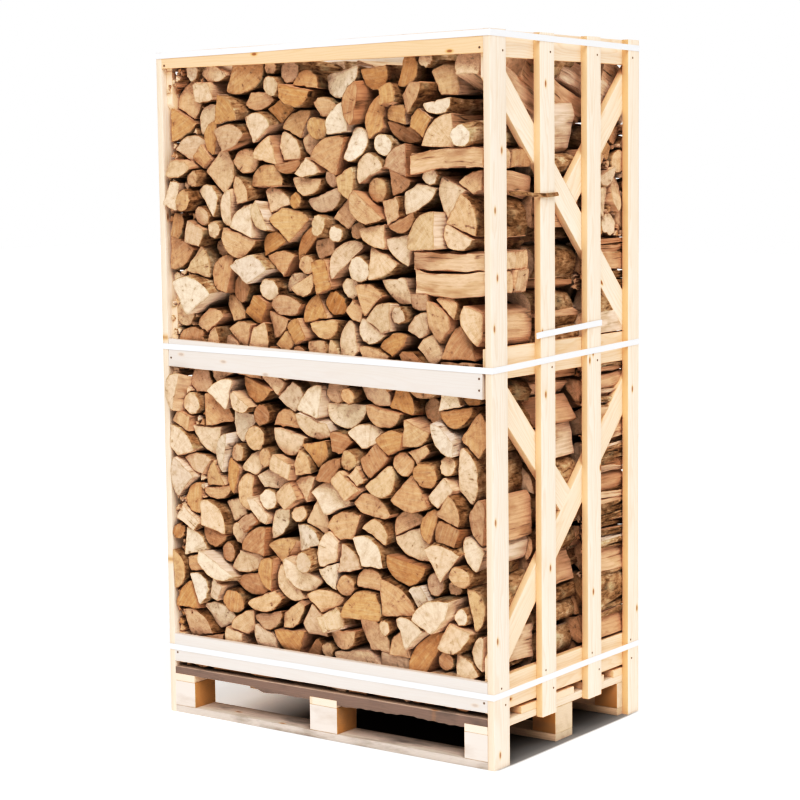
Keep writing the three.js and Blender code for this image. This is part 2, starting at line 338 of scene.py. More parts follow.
strapLook = dict(colour="#F1F1F3", shade="#D9DCE2", ribSpacing=0.0021)


# Extruded polypropylene strapping: white, half glossy, with fine lengthwise ribs that follow the
# sine of the distance across the strap
def strappingBand(look):
    material, tree, shader = startMaterial("extruded polypropylene strap", {
        "IOR": 1.49, "Roughness": 0.38, "Specular IOR Level": 0.5})
    across = separate(tree, attribute(tree, "grain"))[1]
    turns = calculate(tree, "MULTIPLY", across, 2 * math.pi / look["ribSpacing"])
    ribs = calculate(tree, "SINE", turns)
    colour = layered(tree, look["colour"],
                     (rescale(tree, ribs, -1.0, 1.0, 0.0, 0.5), look["shade"]))
    finishMaterial(tree, shader, colour, 0.25, 0.0003, ribs)
    return material


nailLook = dict(steel="#8A8580", rust="#7D5C45", spotSize=0.0015)


# Bright drawn steel nail heads, dulled, with spots of rust as strong as a fine noise
def nailSteel(look):
    material, tree, shader = startMaterial("drawn steel nail", {"Metallic": 0.8,
                                                                "Roughness": 0.5})
    place = addNode(tree, "ShaderNodeTexCoord").outputs["Object"]
    rust = noiseAt(tree, place, 1 / look["spotSize"])
    finishMaterial(tree, shader, layered(tree, look["steel"], (rust, look["rust"])))
    return material


surfaces = dict(
    pine=sawnWood("rough-sawn pine", pineLook, 0.15),
    # pallet spruce: its amber narrow-side colour is mostly painted shade on the fronts and backs
    # of the middle and back blocks
    pallet=sawnWood("rough-sawn pallet spruce", dict(
        pineLook, paleWood="#EAD9C6", earlyWood="#D3AF84", lateWood="#B5875A",
        narrowSideTone="#BF9160", greyStain="#A08A78"), 0.6),
    # weathered grey spruce: its dark narrow-side and stain colours are partly its own weathering
    # and partly painted shade under the bottom rail
    weatheredAndShaded=sawnWood("weathered spruce with painted shade", dict(
        pineLook, paleWood="#DCCDC1", earlyWood="#B9A493", lateWood="#7E6754",
        narrowSideTone="#7C6961", bleached="#DED6D0", greyStain="#645A55"), 0.95),
    # pallet block: its amber and brown wood colours are painted shade on the sides and top that
    # lie in the pallet's shade, and its pale narrow-side colour is the lit front
    block=sawnWood("spruce block with painted shade", dict(
        pineLook, paleWood="#D9B88E", earlyWood="#C0935F", lateWood="#A67645",
        narrowSideTone="#E6DAD2", greyStain="#97816C"), 0.5),
    end=sawnEnd(endGrainLook),
    split=splitFace(splitLook),
    bark=driedBark(barkLook),
    strap=strappingBand(strapLook),
    nail=nailSteel(nailLook),
)
print("materials made:", len(surfaces))


# Puts points and faces into a mesh. Faces are arrays of four or three vertex numbers, and
# attributes are one number or one vector for each point
def makePiece(name, points, quads, triangles, materials, faceMaterials, attributes,
              replaced=(), sharpAngle=34):
    mesh = bpy.data.meshes.new(name)
    corners = np.concatenate([quads.ravel(), triangles.ravel()]).astype(np.int32)
    starts = np.concatenate([np.arange(len(quads)) * 4,
                             len(quads) * 4 + np.arange(len(triangles)) * 3]).astype(np.int32)
    mesh.vertices.add(len(points))
    mesh.vertices.foreach_set("co", points.astype(np.float32).ravel())
    mesh.loops.add(len(corners))
    mesh.loops.foreach_set("vertex_index", corners)
    mesh.polygons.add(len(starts))
    mesh.polygons.foreach_set("loop_start", starts)
    for material in materials:
        mesh.materials.append(material)
    mesh.polygons.foreach_set("material_index", np.asarray(faceMaterials, np.int32))
    mesh.polygons.foreach_set("use_smooth", np.ones(len(starts), bool))
    mesh.update(calc_edges=True)
    for label, values in attributes.items():
        isVector = values.ndim == 2
        layer = mesh.attributes.new(label, "FLOAT_VECTOR" if isVector else "FLOAT", "POINT")
        layer.data.foreach_set("vector" if isVector else "value",
                               values.astype(np.float32).ravel())
    mesh.set_sharp_from_angle(angle=math.radians(sharpAngle))
    piece = bpy.data.objects.new(name, mesh)
    bpy.context.scene.collection.objects.link(piece)
    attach(piece, "root")
    if replaced:
        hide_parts(*replaced)
    return piece


# Smooth random wave along x: a sum of a few sines with random phases, about 1 high
def slowWave(rng, x, turns):
    phases = rng.uniform(0, 2 * math.pi, len(turns))
    return sum(np.sin(t * x + p) / (1 + i) for i, (t, p) in enumerate(zip(turns, phases))) / 1.6


boardShape = dict(edgeRadius=0.0014, edgeWave=0.0009, faceWave=0.0006, stationSpacing=0.11,
                  pithFar=(0.03, 0.10), tornEdge=0.013, tornWidth=0.012, tornFrom=0.27,
                  toneSpread=0.12)


levels = ("bottom", "middle", "top")    # of the rails and the straps
huge = 1e9    # stands for no limit


# The corner points of a CAD piece
def pointsOf(node):
    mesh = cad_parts[node].data
    points = np.empty(len(mesh.vertices) * 3)
    mesh.vertices.foreach_get("co", points)
    return points.reshape(-1, 3)


# The outline of a flat CAD piece in its own plane: its corner points in order round the middle
def outlineOf(node, through):
    points = pointsOf(node)
    inPlane = [axis for axis in range(3) if axis != through]
    flat = np.unique(np.round(points[:, inPlane], 5), axis=0)
    middle = flat.mean(0)
    order = np.argsort(np.arctan2(flat[:, 1] - middle[1], flat[:, 0] - middle[0]))
    return flat[order], inPlane, points[:, through].min(), points[:, through].max()


# Where a convex outline begins and ends along its length, for each place across it
def spanAcross(outline, places):
    nextPoint = np.roll(outline, -1, axis=0)
    a0, s0 = outline[:, :1], outline[:, 1:]
    a1, s1 = nextPoint[:, :1], nextPoint[:, 1:]
    run = np.where(np.abs(s1 - s0) < 1e-7, 1.0, s1 - s0)
    share = (places - s0) / run
    crosses = (share > -1e-4) & (share < 1 + 1e-4) & (np.abs(s1 - s0) >= 1e-7)
    along = a0 + share.clip(0, 1) * (a1 - a0)
    return np.where(crosses, along, huge).min(0), np.where(crosses, along, -huge).max(0)


# A sawn board. Its section is a rectangle with rounded edges, carried along the board:
# place = start(across) + t * (end(across) - start(across)), for t from 0 to 1, so slanted ends
# stay slanted. Slow waves thin it slightly along its length, never thickening it
def makeBoard(node, through, seed, surface, looks, wane):
    rng = np.random.default_rng(seed)
    outline, inPlane, low, high = outlineOf(node, through)
    edges = np.roll(outline, -1, axis=0) - outline
    longest = edges[np.argmax(np.abs(edges) @ (1.7, 1.0))]    # grain along x in nearly square ones
    direction = longest / np.hypot(*longest)
    direction = direction if direction[np.argmax(np.abs(direction))] > 0 else -direction
    across = np.array([-direction[1], direction[0]])
    turned = np.stack([outline @ direction, outline @ across], axis=1)
    sLow, sHigh = turned[:, 1].min(), turned[:, 1].max()

    r = boardShape["edgeRadius"]
    inner = np.linspace(sLow + r, sHigh - r, 7)
    kinks = turned[(turned[:, 1] > sLow + 2 * r) & (turned[:, 1] < sHigh - 2 * r), 1]
    row = np.unique(np.round(np.concatenate([
        [sLow, sLow + 0.3 * r], inner, kinks, [sHigh - 0.3 * r, sHigh]]), 6))
    fromEdge = np.minimum(row - sLow, sHigh - row).clip(0, r)
    lift = np.sqrt((r * r - (r - fromEdge) ** 2).clip(0)) - r    # the rounding of the edges
    half = (high - low) / 2
    places = np.concatenate([row, row[::-1]])
    heights = np.concatenate([half + lift, -(half + lift[::-1])])
    begin, end = spanAcross(turned, places)

    length = (end - begin).max()
    stations = max(3, int(length / boardShape["stationSpacing"] * (6 if wane else 1)))
    t = np.linspace(0, 1, stations + 1)[:, None]
    along = begin + t * (end - begin)
    turns = 2 * math.pi * np.array([1.0, 2.3, 4.1]) / length
    thin = boardShape["faceWave"] * (1 + slowWave(rng, along, turns)) / 2
    narrow = boardShape["edgeWave"] * (1 + slowWave(rng, along, 2 * turns)) / 2
    middle = (sLow + sHigh) / 2
    s = middle + (places - middle) * (1 - narrow * 2 / (sHigh - sLow))
    h = heights * (1 - thin / half)
    atEdge = (fromEdge < 0.2 * r).astype(float)
    sideTone = np.concatenate([atEdge, atEdge[::-1]]) + 0 * along
    if wane:    # towards its right end the near edge is torn and hangs down under the board
        nearEdge = (1 - (places - sLow) / boardShape["tornWidth"]).clip(0, 1) * (heights < 0)
        torn = slowWave(rng, along, 3 * turns) + 0.5 * slowWave(rng, along, 31 * turns)
        hangs = ((t - boardShape["tornFrom"]) / 0.03).clip(0, 1) * (0.75 + 0.3 * torn)
        h = h - wane * nearEdge * (0.15 + hangs)

    count = len(places)
    points = np.zeros((stations + 1, count, 3))
    flat = along[..., None] * direction + s[..., None] * across
    points[..., inPlane[0]] = flat[..., 0]
    points[..., inPlane[1]] = flat[..., 1]
    points[..., through] = (low + high) / 2 + h
    handed = np.linalg.det([np.insert(direction, through, 0), np.insert(across, through, 0),
                            np.eye(3)[through]]) > 0

    k = np.arange(stations)[:, None] * count
    j = np.arange(count)[None, :]
    after = (j + 1) % count
    sides = np.stack([k + j, k + after, k + count + after, k + count + j], -1).reshape(-1, 4)
    pairs = np.arange(len(row) - 1)
    cap = np.stack([pairs, count - 1 - pairs, count - 2 - pairs, pairs + 1], -1)
    quads = np.concatenate([sides, cap, (cap + stations * count)[:, ::-1]])
    if handed:
        quads = quads[:, ::-1]
    faceMaterials = np.zeros(len(quads), int)

    pith = rng.uniform(*boardShape["pithFar"]) * np.array([rng.choice([-0.4, 0.5]), 1.0])
    grain = np.stack([along + rng.uniform(0, 40), s - middle + pith[0], h + pith[1]], -1)
    early, edge, bleach = looks
    tone = np.zeros((stations + 1, count, 3))
    tone[..., 0] = early + rng.uniform(-1, 1) * boardShape["toneSpread"]
    tone[..., 1] = edge * sideTone
    tone[..., 2] = bleach
    return makePiece(f"sawn_{node}", points.reshape(-1, 3), quads,
                     np.zeros((0, 3), int), [surface], faceMaterials,
                     {"grain": grain.reshape(-1, 3), "tone": tone.reshape(-1, 3)},
                     [node], sharpAngle=50)


# For each kind of board: the axis through its thickness, its surface and slot, and its tone, from
# 0 to 1: how far from pale to early wood, how far its narrow sides take the narrow-side colour,
# which is partly the wood's own and partly painted shade, and how bleached it is. A board takes
# the first entry that its name starts with
boardGroups = {
    # the back right post's narrow sides take the full narrow-side colour as painted shade
    "post_right_back": (0, "pine", "sawn_pine", (0.3, 1.0, 0.1)),
    "post_": (0, "pine", "sawn_pine", (0.12, 0.3, 0.2)),
    # the slats' narrow sides are darker, partly as painted shade from the posts in front of them
    "slat_": (0, "pine", "sawn_pine", (0.15, 0.8, 0.1)),
    # the side rails are tinted warmer tan as painted shade cast by the slats
    "side_rail_": (0, "pine", "sawn_pine", (0.5, 0.5, 0.0)),
    "brace_": (0, "pine", "sawn_pine", (0.35, 0.6, 0.0)),
    "front_rail_top": (1, "pine", "sawn_pine", (1.0, 0.3, 0.15)),
    "front_rail_middle": (1, "pine", "sawn_pine", (0.2, 0.1, 0.75)),
    "front_rail_bottom": (1, "pine", "sawn_pine", (0.05, 0.1, 0.8)),
    "back_rail_": (1, "pine", "sawn_pine", (0.3, 0.3, 0.4)),
    "pallet_runner_front": (2, "weatheredAndShaded", "pallet_wood", (0.15, 0.1, 0.3)),
    "pallet_runner_middle": (2, "pallet", "pallet_wood", (0.5, 0.2, 0.2)),
    "pallet_runner_back": (2, "pallet", "pallet_wood", (0.5, 0.2, 0.2)),
    # front blocks: pale fronts, with amber sides and tops as painted shade; the other blocks: pale
    # sides, with fronts and backs in the amber narrow-side colour as painted shade
    "pallet_block_front": (2, "block", "pallet_wood", (0.8, 0.92, 0.0)),
    "pallet_block": (2, "pallet", "pallet_wood", (0.15, 1.0, 0.0)),
    "pallet_stringer": (2, "pine", "pallet_wood", (0.25, 0.3, 0.1)),
    # the front deck board's lip: weathered grey wood, darkened partly as painted shade under the
    # bottom rail
    "pallet_deck_board_1": (2, "weatheredAndShaded", "pallet_wood", (0.8, 0.8, 0.0)),
    "pallet_deck_board": (2, "pine", "pallet_wood", (0.6, 0.3, 0.0)),
}
firstBoardSeed = 100
boardsMade = set()
for start, (through, surface, slotName, looks) in boardGroups.items():
    for node in sorted(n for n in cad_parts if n.startswith(start)):
        if node in boardsMade:
            continue
        boardsMade.add(node)
        wane = boardShape["tornEdge"] if node == "pallet_deck_board_1" else 0.0
        makeBoard(node, through, firstBoardSeed + len(boardsMade), surfaces[surface],
                  looks, wane)
print("boards made:", len(boardsMade))


logShape = dict(
    outlineSteps=180, ringPoints=24, spare=0.0014, shrink=0.0008, rim=0.0022,
    # how much logs differ: spread of size, twist in radians, and lean, bow and roughness in metres
    taper=0.018, twist=0.05, lean=0.008, bow=0.005, barkRough=0.0014, splitRough=0.0010,
    chipped=0.0013, cutSlope=0.12,
)
# The packing works on square cells, in a window that moves up as the stack grows. A log touches
# what lies within rimCells of its outline, and contactGain weighs that against lying low
packing = dict(
    cell=0.005, reachCells=21, turnsTried=12, logsTried=2, rimCells=2.4, contactGain=22,
    windowRows=90, floorRows=3, rowsBelow=30, lowPercent=15, missesToRounds=5, missesToStop=14,
    # kindling: the steps up the stack, how far from its left end, and the contact needed
    stickStep=42, stickColumns=26, stickContact=7,
)
# How each kind is split from a round: share of all logs, range of the round's radius, and how
# far from the pith its split faces lie. opening is the angle of a wedge in degrees, and
# thirdShare of the wedges lose their tip
logKinds = dict(
    half=dict(share=0.22, radius=(0.047, 0.074), face=(-0.012, 0.016)),
    quarter=dict(share=0.54, radius=(0.074, 0.112), opening=(58, 112), face=(-0.002, 0.014),
                 thirdShare=0.35, thirdSkew=0.4, third=(-0.034, -0.014)),
    billet=dict(share=0.10, radius=(0.058, 0.084), halfThick=(0.022, 0.036), skew=0.25,
                givenSkew=0.06, third=(-0.015, 0.02)),
    round=dict(share=0.14, radius=(0.023, 0.042)),
    stick=dict(share=0.0, radius=(0.008, 0.019), face=(-0.002, 0.006), secondAngle=2.0,
               second=(0.002, 0.008)),
)
stepAngles = np.linspace(0, 2 * math.pi, logShape["outlineSteps"], endpoint=False)


# The split faces of one log: each is a line, given by its outward angle and distance from pith
def splitLines(rng, kind, halfThick):
    shape = logKinds[kind]
    if kind == "half":
        return [(0.0, rng.uniform(*shape["face"]))]
    if kind == "stick":
        return [(0.0, rng.uniform(*shape["face"])),
                (shape["secondAngle"], rng.uniform(*shape["second"]))]
    if kind == "quarter":
        half = math.radians(rng.uniform(*shape["opening"])) / 2
        lines = [(half + math.pi / 2, rng.uniform(*shape["face"])),
                 (-half - math.pi / 2, rng.uniform(*shape["face"]))]
        if rng.random() < shape["thirdShare"]:
            skew = shape["thirdSkew"]
            lines.append((math.pi + rng.uniform(-skew, skew), rng.uniform(*shape["third"])))
        return lines
    if kind == "billet":
        skew = shape["givenSkew"] if halfThick else shape["skew"]
        width = halfThick or rng.uniform(*shape["halfThick"])
        return [(math.pi / 2 + rng.uniform(-skew, skew), width),
                (-math.pi / 2 + rng.uniform(-skew, skew), width),
                (math.pi + rng.uniform(-skew, skew), rng.uniform(*shape["third"]))]
    return []


# The cross-section of one log, as its radius in each direction from a point well inside it.
# The radius is the smallest of: the bark circle with a few slow lumps, and each split line,
# which waves a little because the wood tears along its fibres
def logSection(rng, kind, halfThick=None):
    radius = rng.uniform(*logKinds[kind]["radius"])
    lumps = rng.uniform(-1, 1, 4) * (0.06, 0.05, 0.03, 0.02)
    lines = splitLines(rng, kind, halfThick)
    side = np.linspace(-radius, radius, 25)
    gx, gy = np.meshgrid(side, side)
    room = 0.93 * radius - np.hypot(gx, gy)
    for angle, reach in lines:
        room = np.minimum(room, reach - gx * math.cos(angle) - gy * math.sin(angle))
    best = np.argmax(room)
    centre = np.array([gx.flat[best], gy.flat[best]])
    rays = np.stack([np.cos(stepAngles), np.sin(stepAngles)], axis=1)
    reachOut = np.full(len(stepAngles), radius)
    for _ in range(6):    # a few steps settle the ray's length on the lumpy circle
        spot = centre + rays * reachOut[:, None]
        turn = np.arctan2(spot[:, 1], spot[:, 0])
        lumpy = radius * (1 + lumps[0] * np.cos(2 * turn) + lumps[1] * np.sin(2 * turn)
                          + lumps[2] * np.cos(3 * turn) + lumps[3] * np.sin(5 * turn))
        nearest = rays @ centre
        reachOut = np.sqrt((nearest ** 2 - centre @ centre + lumpy ** 2).clip(1e-9)) - nearest
    isBark = np.ones(len(stepAngles), bool)
    for angle, reach in lines:
        normal = np.array([math.cos(angle), math.sin(angle)])
        facing = rays @ normal
        toLine = np.where(facing > 1e-4, (reach - centre @ normal) / facing.clip(1e-4), huge)
        toLine = toLine * (1 + 0.035 * slowWave(rng, stepAngles, [2, 5, 9, 17]))
        isBark &= toLine > reachOut
        reachOut = np.minimum(reachOut, toLine)
    soft = np.array([1, 2, 3, 2, 1]) / 9    # takes the razor edge off the corners
    reachOut = sum(w * np.roll(reachOut, i - 2) for i, w in enumerate(soft))
    return dict(kind=kind, reach=reachOut, isBark=isBark, pith=-centre)


# Tries a section in many turned positions at every place of a window of cells, and returns the
# best as (cost, turn, row, column, cells). space holds 1 where a cell is filled, and shape is
# correlated with it through their Fourier transforms: the real part counts the cells that would
# clash, the imaginary part the filled cells that the log would touch
def tryLog(spaceWaves, section, turns, usable, lowWeight):
    windowRows, windowColumns = spaceWaves.shape
    cell, reach = packing["cell"], packing["reachCells"]
    size = 2 * reach + 1
    steps = logShape["outlineSteps"]
    grid = np.arange(-reach, reach + 1) * cell
    gx, gz = np.meshgrid(grid, grid)
    steer = (np.arctan2(gz, gx) - turns[:, None, None]) / (2 * math.pi) % 1 * steps
    limit = section["reach"][steer.astype(int) % steps]
    shapes = np.hypot(gx, gz) < limit + logShape["spare"]
    rims = (np.hypot(gx, gz) < limit + packing["rimCells"] * cell) & ~shapes
    kernel = np.zeros((len(turns), windowRows, windowColumns), complex)
    kernel[:, :size, :size] = shapes - 1j * rims
    match = np.fft.ifft2(spaceWaves * np.conj(np.fft.fft2(kernel)))
    usedRows, usedColumns = shapes.any(2), shapes.any(1)
    y0 = usedRows.argmax(1)[:, None, None]
    y1 = size - 1 - usedRows[:, ::-1].argmax(1)[:, None, None]
    x0 = usedColumns.argmax(1)[:, None, None]
    x1 = size - 1 - usedColumns[:, ::-1].argmax(1)[:, None, None]
    down = np.arange(windowRows)[None, :, None]
    down = np.where(down + y0 >= windowRows, down - windowRows, down)
    over = np.arange(windowColumns)[None, None, :]
    over = np.where(over + x0 >= windowColumns, over - windowColumns, over)
    free = ((match.real < 0.5) & (down + y0 >= 0) & (down + y1 < usable[0])
            & (over + x0 >= usable[1]) & (over + x1 < usable[2]))
    contact = match.imag / rims.sum((1, 2))[:, None, None]
    cost = np.where(free, lowWeight * down - packing["contactGain"] * contact, huge)
    t, y, x = np.unravel_index(np.argmin(cost), cost.shape)
    return cost[t, y, x], turns[t], int(down[t, y, 0]), int(over[t, 0, x]), shapes[t]


# Stacks logs in an upright rectangle, as seen on their ends. Each new log goes where it lies
# lowest with the most contact. Last, sticks of kindling fill gaps along the rectangle's left end
def stackLogs(rng, width, height, blocked, sticks=0):
    cell, reach = packing["cell"], packing["reachCells"]
    columns, rows = int(width / cell), int(height / cell)
    filled = np.zeros((rows, columns), bool)
    for x0, x1, z0, z1 in blocked:
        filled[int(z0 / cell):math.ceil(z1 / cell), int(x0 / cell):math.ceil(x1 / cell)] = True
    windowRows = packing["windowRows"]
    windowColumns = 24 * math.ceil((columns + 3) / 24)    # a size that transforms quickly
    turnSteps = np.arange(packing["turnsTried"]) * 2 * math.pi / packing["turnsTried"]
    names = list(logKinds)
    shares = np.array([logKinds[n]["share"] for n in names])
    placed = []

    def windowWaves(base, top):
        space = np.ones((windowRows, windowColumns))
        space[:top - base] = 0    # the walls hold nothing, so no log turns its flat face to them
        space[:top - base, :columns] = filled[base:top]
        return np.fft.fft2(space)

    def settle(section, base, found):
        _, turn, y, x, shape = found
        shapeRows, shapeColumns = np.nonzero(shape)
        filled[base + y + shapeRows, x + shapeColumns] = True
        placed.append((section, turn, (x + reach + 0.5) * cell, (base + y + reach + 0.5) * cell))

    misses = 0
    while misses < packing["missesToStop"]:
        topFilled = np.where(filled.any(0), rows - np.argmax(filled[::-1], axis=0), 0)
        lowest = np.percentile(topFilled, packing["lowPercent"]) - packing["rowsBelow"]
        base = int(np.clip(lowest, 0, max(rows - windowRows, 0)))
        top = min(rows, base + windowRows - packing["floorRows"])    # spare rows act as the floor
        waves = windowWaves(base, top)
        found = []
        for _ in range(packing["logsTried"]):
            isFull = misses >= packing["missesToRounds"]    # only the last small gaps are left
            kind = "round" if isFull else names[rng.choice(len(names), p=shares)]
            section = logSection(rng, kind)
            turns = rng.uniform(0, 2 * math.pi) + (turnSteps if kind != "round" else turnSteps[:1])
            found.append((tryLog(waves, section, turns, (top - base, 0, columns), 1.0), section))
        best, section = min(found, key=lambda pair: pair[0][0])
        if best[0] >= huge:
            misses += 1
            continue
        misses = misses if isFull else 0
        settle(section, base, best)

    for base in range(0, rows, packing["stickStep"]):
        top = min(rows, base + windowRows - packing["floorRows"])
        for _ in range(sticks):
            section = logSection(rng, "stick")
            turns = rng.uniform(0, 2 * math.pi) + turnSteps[::3]
            best = tryLog(windowWaves(base, top), section, turns,
                          (top - base, 0, packing["stickColumns"]), 0.0)
            if best[0] < -packing["stickContact"]:    # it touches along a third of its outline
                settle(section, base, best)
    return placed


# The steps of each outline that become corners of its rings. The steps are weighed by length
# and turning, so a corner of the split gets more of them than a straight stretch
def ringSteps(outlines, count):
    edges = np.roll(outlines, -1, axis=1) - outlines
    lengths = np.hypot(edges[..., 0], edges[..., 1])
    heading = np.arctan2(edges[..., 1], edges[..., 0])
    turning = np.abs((heading - np.roll(heading, 1, axis=1) + math.pi) % (2 * math.pi) - math.pi)
    weight = lengths / lengths.mean(1, keepdims=True) + 9 * turning
    share = np.cumsum(weight, axis=1) / weight.sum(1, keepdims=True)
    targets = (np.arange(count) + 0.3) / count
    return (share[:, None, :] < targets[None, :, None]).sum(2)


# Turns a stack into one mesh. Every log is its outline carried from the front tip to the back
# end, a little tapered, twisted, bowed and leaning, closed by sawn ends. The front end has a
# narrow worn rim, which is bark along the bark side. place turns (across, along, up) into
# the crate's x, y and z
def makeLogs(rng, name, stack, tips, lengths, place, replaced, ringPoints, detailed=True,
             tones=(0.0, 1.0), stations=(0.0, 0.0, 0.28, 0.64, 1.0), wild=1.0):
    count = len(stack)
    reach = np.array([log[0]["reach"] for log in stack])
    isBark = np.array([log[0]["isBark"] for log in stack])
    pith = np.array([log[0]["pith"] for log in stack])
    turn = np.array([log[1] for log in stack])[:, None]
    centre = np.array([log[2:4] for log in stack])
    reach = reach - logShape["shrink"]
    rays = np.stack([np.cos(stepAngles), np.sin(stepAngles)], axis=-1)
    steps = ringSteps(reach[..., None] * rays, ringPoints)
    ringReach = np.take_along_axis(reach, steps, axis=1)
    ringBark = np.take_along_axis(isBark, steps, axis=1)
    ringAngle = stepAngles[steps]

    stations = np.array(stations if detailed else [0.0, 1.0])
    rim = logShape["rim"] if detailed else 0.0

    def spread(name, *shape):    # how much each log differs from the straight and even one
        return rng.normal(0, logShape[name], (count, *shape))

    taper = 1 + rng.normal(0, logShape["taper"] * wild, (count, len(stations))) * (stations > 0)
    twist = spread("twist", 1) * stations
    lean = spread("lean", 1, 2) * stations[:, None]
    bow = spread("bow", 1, 2) * (4 * stations * (1 - stations))[:, None]
    roughness = np.where(ringBark[:, None], logShape["barkRough"], logShape["splitRough"]) * wild
    rough = (rng.normal(0, 1, (count, len(stations), ringPoints)) * roughness
             * (stations > 0)[:, None])
    chipped = spread("chipped", 1, ringPoints)
    size = ringReach[:, None, :] * taper[..., None] + rough + chipped
    if detailed:
        size[:, 0] = ringReach + chipped[:, 0] - rim
    ownU = size * np.cos(ringAngle)[:, None]
    ownW = size * np.sin(ringAngle)[:, None]
    swing = (turn + twist)[..., None]
    u = ownU * np.cos(swing) - ownW * np.sin(swing)
    w = ownU * np.sin(swing) + ownW * np.cos(swing)
    cut = spread("cutSlope", 2)    # the saw cuts are a little out of square
    slope = cut[:, :1, None] * u + cut[:, 1:, None] * w
    atTip = (1 - stations)[None, :, None] ** 2
    depth = tips[:, None, None] + lengths[:, None, None] * stations[:, None] + slope * atTip
    if detailed:
        depth[:, 1] += rim * 0.7
    across = centre[:, 0, None, None] + u + (lean + bow)[..., :1]
    height = centre[:, 1, None, None] + w + (lean + bow)[..., 1:]

    rings = np.stack([across, depth, height], axis=-1)
    endCentres = np.stack([
        np.stack([centre[:, 0], tips, centre[:, 1]], axis=-1),
        np.stack([centre[:, 0] + lean[:, -1, 0], tips + lengths, centre[:, 1] + lean[:, -1, 1]],
                 axis=-1)], axis=1)
    points = np.concatenate([rings.reshape(count, -1, 3), endCentres], axis=1)

    offset = rng.uniform(0, 30, (count, 1))
    ownRings = np.stack([ownU - pith[:, :1, None], ownW - pith[:, 1:, None],
                         depth + offset[..., None]], axis=-1)
    ownEnds = np.stack([np.concatenate([-pith, tips[:, None] + offset], axis=1),
                        np.concatenate([-pith, (tips + lengths)[:, None] + offset], axis=1)], 1)
    own = np.concatenate([ownRings.reshape(count, -1, 3), ownEnds], axis=1)
    each = points.shape[1]
    tone = np.stack([tones[0] + (tones[1] - tones[0]) * rng.beta(1.5, 1.5, count),
                     np.where(rng.random(count) < 0.25, rng.uniform(0.3, 0.8, count), 0.06),
                     np.where(rng.random(count) < 0.2, rng.uniform(0.15, 0.45, count), 0.0)], 1)
    tone = np.repeat(tone[:, None], each, axis=1)
    rimValue = np.ones((count, each))
    rimValue[:, :ringPoints] = 0.8
    rimValue[:, -2:] = 0

    k = np.arange(ringPoints)
    after = (k + 1) % ringPoints
    ring = np.arange(len(stations) - 1)[:, None] * ringPoints
    shaft = np.stack([ring + k, ring + ringPoints + k, ring + ringPoints + after, ring + after],
                     axis=-1).reshape(-1, 4)
    last = (len(stations) - 1) * ringPoints
    front = np.stack([k * 0 + each - 2, k, after], axis=-1)
    back = np.stack([k * 0 + each - 1, last + after, last + k], axis=-1)
    starts = (np.arange(count) * each)[:, None, None]
    quads = (starts + shaft).reshape(-1, 4)
    triangles = (starts + np.concatenate([front, back])).reshape(-1, 3)
    segmentBark = ringBark & np.roll(ringBark, -1, axis=1)
    sawnEndSlot, splitSlot, barkSlot = 0, 1, 2
    shaftMaterial = np.where(segmentBark, barkSlot, splitSlot)[:, None].repeat(
        len(stations) - 1, axis=1)
    if detailed:
        shaftMaterial[:, 0] = np.where(segmentBark, barkSlot, sawnEndSlot)
    faceMaterials = np.concatenate([shaftMaterial.ravel(),
                                    np.full(len(triangles), sawnEndSlot)])
    return makePiece(name, place(points.reshape(-1, 3)), quads, triangles,
                     [surfaces["end"], surfaces["split"], surfaces["bark"]], faceMaterials,
                     {"pith": own.reshape(-1, 3), "tone": tone.reshape(-1, 3),
                      "rim": rimValue.ravel()}, replaced)


rowPlan = dict(
    left=-0.576, right=0.5555, top=1.998,    # the logs fill the crate between these
    tip=-0.384, tipSpread=0.014, behindRail=-0.3765, deepest=-0.1275, length=0.25,
    lengthSpread=0.006,
    # a share of the logs stands out, and another share stands back, by up to so much
    boldShare=0.14, bold=0.022, shyShare=0.24, shy=0.040, furthest=-0.431,
    # logs at the left end stand out further between these heights
    leftOf=-0.44, boldAtLeft=(0.012, 0.032), boldHeights=dict(front=(1.16, 1.62), back=(0.0, 2.0)),
    # gap to a rail per metre of a log's radius
    railGap=0.045,
    wedged=dict(front=[(-0.553, 0.350), (-0.555, 0.374), (-0.520, 0.318)], back=[]),
)
# Billets laid crosswise at the right end of both rows: where they begin and end, how deep into
# the crate they lie, and for each place its lowest height, its layers and the logs' tones
cribPlan = dict(left=0.322, right=0.572, front=-0.394, back=-0.128, billetDepth=0.076,
                turnSpread=0.03, shift=0.01, reach=(-0.003, 0.014), shorter=0.02,
                places=dict(front=[(1.316, (0.062, 0.052), (0.38, 0.62)),
                                   (1.660, (0.052,), (0.3, 0.55))],
                            back=[(1.452, (0.334,), (0.2, 0.8))]),
                stations=(0.0, 0.0, 0.12, 0.25, 0.37, 0.5, 0.62, 0.75, 0.88, 1.0))
# Billets leaning along the right side above the rows, each with its tip on the one in front:
# how steeply they lean, the place of the first one's middle and how far apart they lie
leanPlan = dict(left=0.466, right=0.556, low=1.782, steepness=0.36, thick=0.073,
                first=(-0.2, 1.885), spacing=0.213, turnSpread=0.1, tipSpread=0.01,
                clearLeft=0.03, clearRight=0.003,
                lengths=(0.36, 0.355, 0.375, 0.150), stations=cribPlan["stations"])
rowLow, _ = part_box("log_row_front")
rowWidth, rowHeight = rowPlan["right"] - rowPlan["left"], rowPlan["top"] - rowLow.z
railLines = []
for level in levels:
    corners = outlineOf(f"front_rail_{level}", 1)[0]
    leftZ = np.sort(corners[corners[:, 0] < 0, 1])
    rightZ = np.sort(corners[corners[:, 0] > 0, 1])
    railLines.append((leftZ[[0, -1]], rightZ[[0, -1]], corners[:, 0].min(), corners[:, 0].max()))


